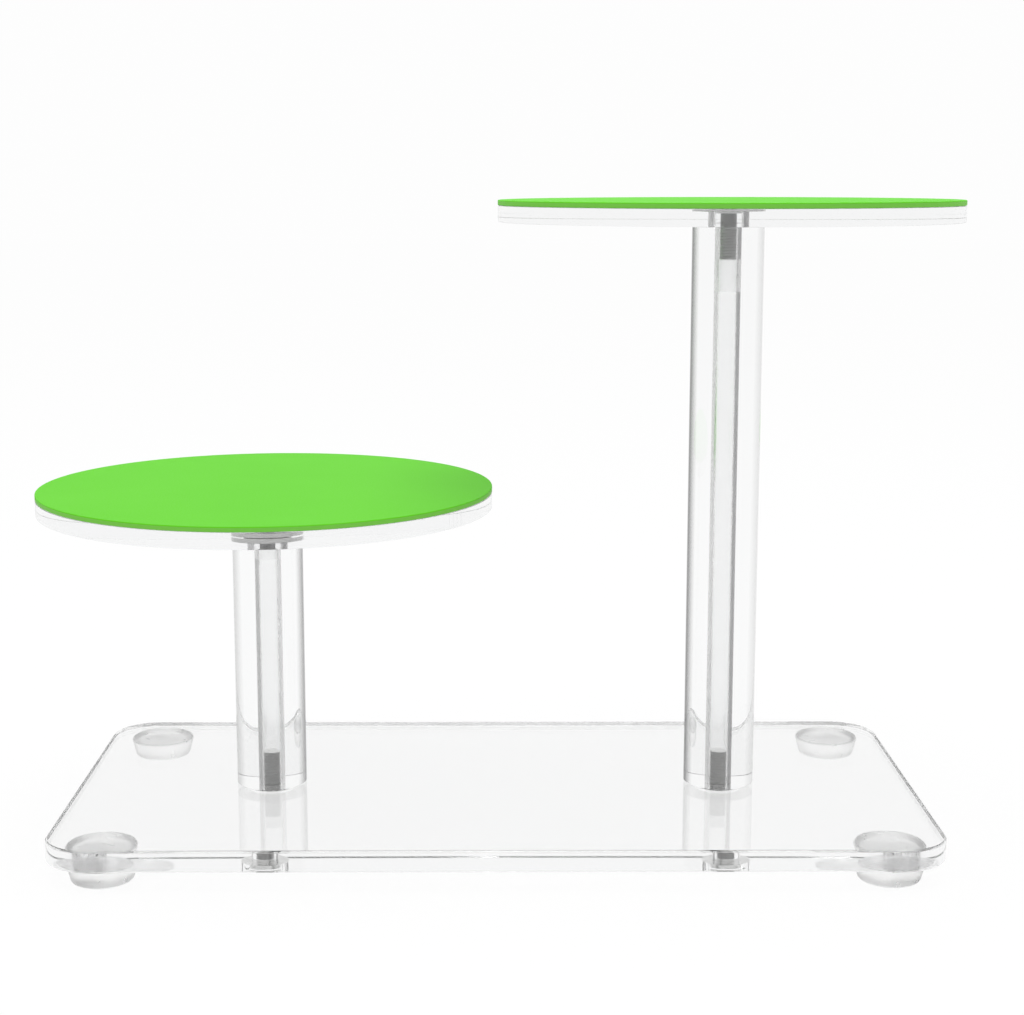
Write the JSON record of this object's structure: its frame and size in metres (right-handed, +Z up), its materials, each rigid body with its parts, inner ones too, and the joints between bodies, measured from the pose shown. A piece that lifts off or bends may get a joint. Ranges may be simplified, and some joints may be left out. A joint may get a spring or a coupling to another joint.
{
  "type": "display riser",
  "caption": "Two-level clear display riser: a flat base on soft feet, a low and a high round column, and a round coloured platform turning on top of each.",
  "frame": {"origin": "on the counter, under the middle of the base plate", "axes": "+X along the base from the low platform to the high one, +Y from the front of the base to its back, +Z up"},
  "size_m": [0.322, 0.16, 0.2228],
  "materials": {
    "clear_acrylic": "clear cast acrylic with polished edges",
    "green_top": "opaque bright green sheet, smooth, low sheen",
    "screw_steel": "bright plated steel",
    "foot_rubber": "clear milky soft bumper",
    "clear_soft": "thin clear adhesive disc or soft washer"
  },
  "bodies": {
    "stand": {"base_plate": "clear_acrylic", "foot_front_left": "foot_rubber", "foot_front_right": "foot_rubber", "foot_back_left": "foot_rubber", "foot_back_right": "foot_rubber", "glue_front_left": "clear_soft", "glue_front_right": "clear_soft", "glue_back_left": "clear_soft", "glue_back_right": "clear_soft", "short_column": "clear_acrylic", "tall_column": "clear_acrylic", "short_base_screw": "screw_steel", "tall_base_screw": "screw_steel", "short_platform_screw": "screw_steel", "tall_platform_screw": "screw_steel", "short_washer": "clear_soft", "tall_washer": "clear_soft"},
    "short_platform": {"short_platform_disc": "clear_acrylic", "short_platform_top": "green_top"},
    "tall_platform": {"tall_platform_disc": "clear_acrylic", "tall_platform_top": "green_top"}
  },
  "joints": [
    {"name": "short_platform_turn", "type": "hinge", "parent": "stand", "child": "short_platform", "pos_m": [-0.081, 0, 0.118], "axis": [0, 0, 1], "continuous": true},
    {"name": "tall_platform_turn", "type": "hinge", "parent": "stand", "child": "tall_platform", "pos_m": [0.081, 0, 0.218], "axis": [0, 0, 1], "continuous": true}
  ]
}
